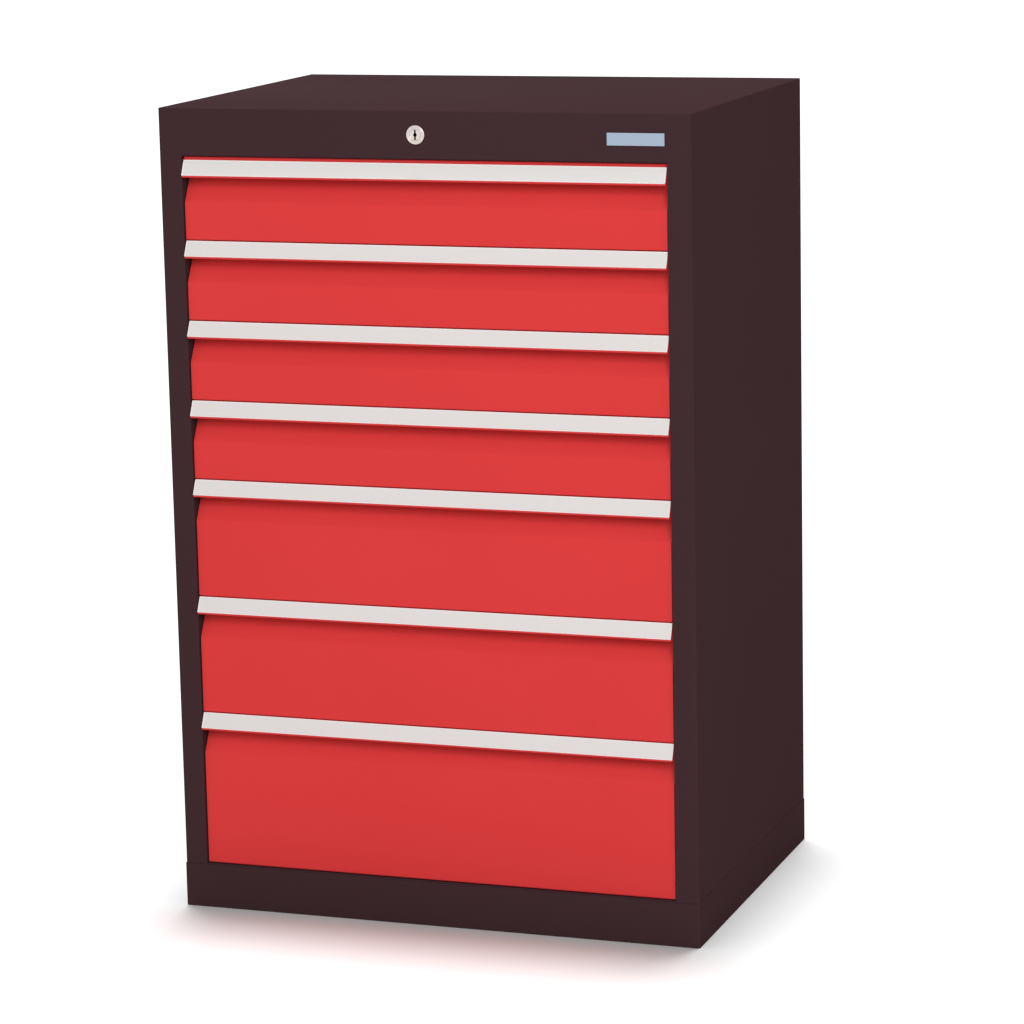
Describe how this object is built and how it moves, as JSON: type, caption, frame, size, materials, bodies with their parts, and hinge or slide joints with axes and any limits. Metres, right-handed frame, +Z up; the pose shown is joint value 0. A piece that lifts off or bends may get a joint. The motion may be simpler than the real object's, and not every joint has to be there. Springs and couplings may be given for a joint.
{
  "type": "drawer cabinet",
  "caption": "Sheet steel drawer cabinet on a plinth, with leaning full-width handles, label strips, telescopic roller slides and a central key lock.",
  "frame": {"origin": "middle of the cabinet's footprint, on the floor under the plinth", "axes": "+X to the right as seen from the front, +Y towards the back, +Z up"},
  "size_m": [0.684, 0.5058, 1.019],
  "materials": {
    "housing_paint": "fine satin powder coat",
    "drawer_paint": "fine satin powder coat",
    "label_strip": "satin",
    "tray_paint": "fine satin powder coat",
    "zinc_steel": "zinc plated",
    "roller_nylon": "moulded",
    "lock_nickel": "nickel plated, satin",
    "plate_enamel": "satin"
  },
  "bodies": {
    "housing": {"side_panel_left": "housing_paint", "side_panel_right": "housing_paint", "top_panel": "housing_paint", "back_panel": "housing_paint", "bottom_panel": "housing_paint", "plinth": "housing_paint", "rail_columns_left": "housing_paint", "rail_columns_right": "housing_paint", "cabinet_rails_left": "zinc_steel", "cabinet_rails_right": "zinc_steel", "name_plate": "plate_enamel", "lock_cylinder": "lock_nickel", "lock_nut": "lock_nickel", "shaft_bearing": "housing_paint", "bar_guides": "housing_paint"},
    "lock_rotor": {"lock_plug": "lock_nickel", "lock_shaft": "zinc_steel"},
    "bar": {"lock_bar": "zinc_steel"},
    "drawer_1": {"front_panel_1": "drawer_paint", "label_strip_1": "label_strip", "tray_1": "tray_paint", "drawer_rails_1": "zinc_steel"},
    "carriage_1": {"carriage_bars_1": "zinc_steel", "carriage_rollers_1": "roller_nylon"},
    "drawer_2": {"front_panel_2": "drawer_paint", "label_strip_2": "label_strip", "tray_2": "tray_paint", "drawer_rails_2": "zinc_steel"},
    "carriage_2": {"carriage_bars_2": "zinc_steel", "carriage_rollers_2": "roller_nylon"},
    "drawer_3": {"front_panel_3": "drawer_paint", "label_strip_3": "label_strip", "tray_3": "tray_paint", "drawer_rails_3": "zinc_steel"},
    "carriage_3": {"carriage_bars_3": "zinc_steel", "carriage_rollers_3": "roller_nylon"},
    "drawer_4": {"front_panel_4": "drawer_paint", "label_strip_4": "label_strip", "tray_4": "tray_paint", "drawer_rails_4": "zinc_steel"},
    "carriage_4": {"carriage_bars_4": "zinc_steel", "carriage_rollers_4": "roller_nylon"},
    "drawer_5": {"front_panel_5": "drawer_paint", "label_strip_5": "label_strip", "tray_5": "tray_paint", "drawer_rails_5": "zinc_steel"},
    "carriage_5": {"carriage_bars_5": "zinc_steel", "carriage_rollers_5": "roller_nylon"},
    "drawer_6": {"front_panel_6": "drawer_paint", "label_strip_6": "label_strip", "tray_6": "tray_paint", "drawer_rails_6": "zinc_steel"},
    "carriage_6": {"carriage_bars_6": "zinc_steel", "carriage_rollers_6": "roller_nylon"},
    "drawer_7": {"front_panel_7": "drawer_paint", "label_strip_7": "label_strip", "tray_7": "tray_paint", "drawer_rails_7": "zinc_steel"},
    "carriage_7": {"carriage_bars_7": "zinc_steel", "carriage_rollers_7": "roller_nylon"}
  },
  "joints": [
    {"name": "drawer_1_slide", "type": "slide", "parent": "housing", "child": "drawer_1", "axis": [0, -1, 0], "range_m": [0, 0.4]},
    {"name": "carriage_1_slide", "type": "slide", "parent": "housing", "child": "carriage_1", "axis": [0, -1, 0], "range_m": [0, 0.2]},
    {"name": "drawer_2_slide", "type": "slide", "parent": "housing", "child": "drawer_2", "axis": [0, -1, 0], "range_m": [0, 0.4]},
    {"name": "carriage_2_slide", "type": "slide", "parent": "housing", "child": "carriage_2", "axis": [0, -1, 0], "range_m": [0, 0.2]},
    {"name": "drawer_3_slide", "type": "slide", "parent": "housing", "child": "drawer_3", "axis": [0, -1, 0], "range_m": [0, 0.4]},
    {"name": "carriage_3_slide", "type": "slide", "parent": "housing", "child": "carriage_3", "axis": [0, -1, 0], "range_m": [0, 0.2]},
    {"name": "drawer_4_slide", "type": "slide", "parent": "housing", "child": "drawer_4", "axis": [0, -1, 0], "range_m": [0, 0.4]},
    {"name": "carriage_4_slide", "type": "slide", "parent": "housing", "child": "carriage_4", "axis": [0, -1, 0], "range_m": [0, 0.2]},
    {"name": "drawer_5_slide", "type": "slide", "parent": "housing", "child": "drawer_5", "axis": [0, -1, 0], "range_m": [0, 0.4]},
    {"name": "carriage_5_slide", "type": "slide", "parent": "housing", "child": "carriage_5", "axis": [0, -1, 0], "range_m": [0, 0.2]},
    {"name": "drawer_6_slide", "type": "slide", "parent": "housing", "child": "drawer_6", "axis": [0, -1, 0], "range_m": [0, 0.4]},
    {"name": "carriage_6_slide", "type": "slide", "parent": "housing", "child": "carriage_6", "axis": [0, -1, 0], "range_m": [0, 0.2]},
    {"name": "drawer_7_slide", "type": "slide", "parent": "housing", "child": "drawer_7", "axis": [0, -1, 0], "range_m": [0, 0.4]},
    {"name": "carriage_7_slide", "type": "slide", "parent": "housing", "child": "carriage_7", "axis": [0, -1, 0], "range_m": [0, 0.2]},
    {"name": "lock_turn", "type": "hinge", "parent": "housing", "child": "lock_rotor", "pos_m": [-0.003, -0.24712, 0.99], "axis": [0, 1, 0], "range_deg": [0, 90]},
    {"name": "lock_bar_lift", "type": "slide", "parent": "housing", "child": "bar", "axis": [0, 0, 1], "range_m": [0, 0.0198]}
  ],
  "couplings": [
    {"joint": "carriage_1_slide", "follows": "drawer_1_slide", "ratio": 0.5},
    {"joint": "carriage_2_slide", "follows": "drawer_2_slide", "ratio": 0.5},
    {"joint": "carriage_3_slide", "follows": "drawer_3_slide", "ratio": 0.5},
    {"joint": "carriage_4_slide", "follows": "drawer_4_slide", "ratio": 0.5},
    {"joint": "carriage_5_slide", "follows": "drawer_5_slide", "ratio": 0.5},
    {"joint": "carriage_6_slide", "follows": "drawer_6_slide", "ratio": 0.5},
    {"joint": "carriage_7_slide", "follows": "drawer_7_slide", "ratio": 0.5},
    {"joint": "lock_turn", "follows": "lock_bar_lift", "rad_per_m": 79.333}
  ]
}
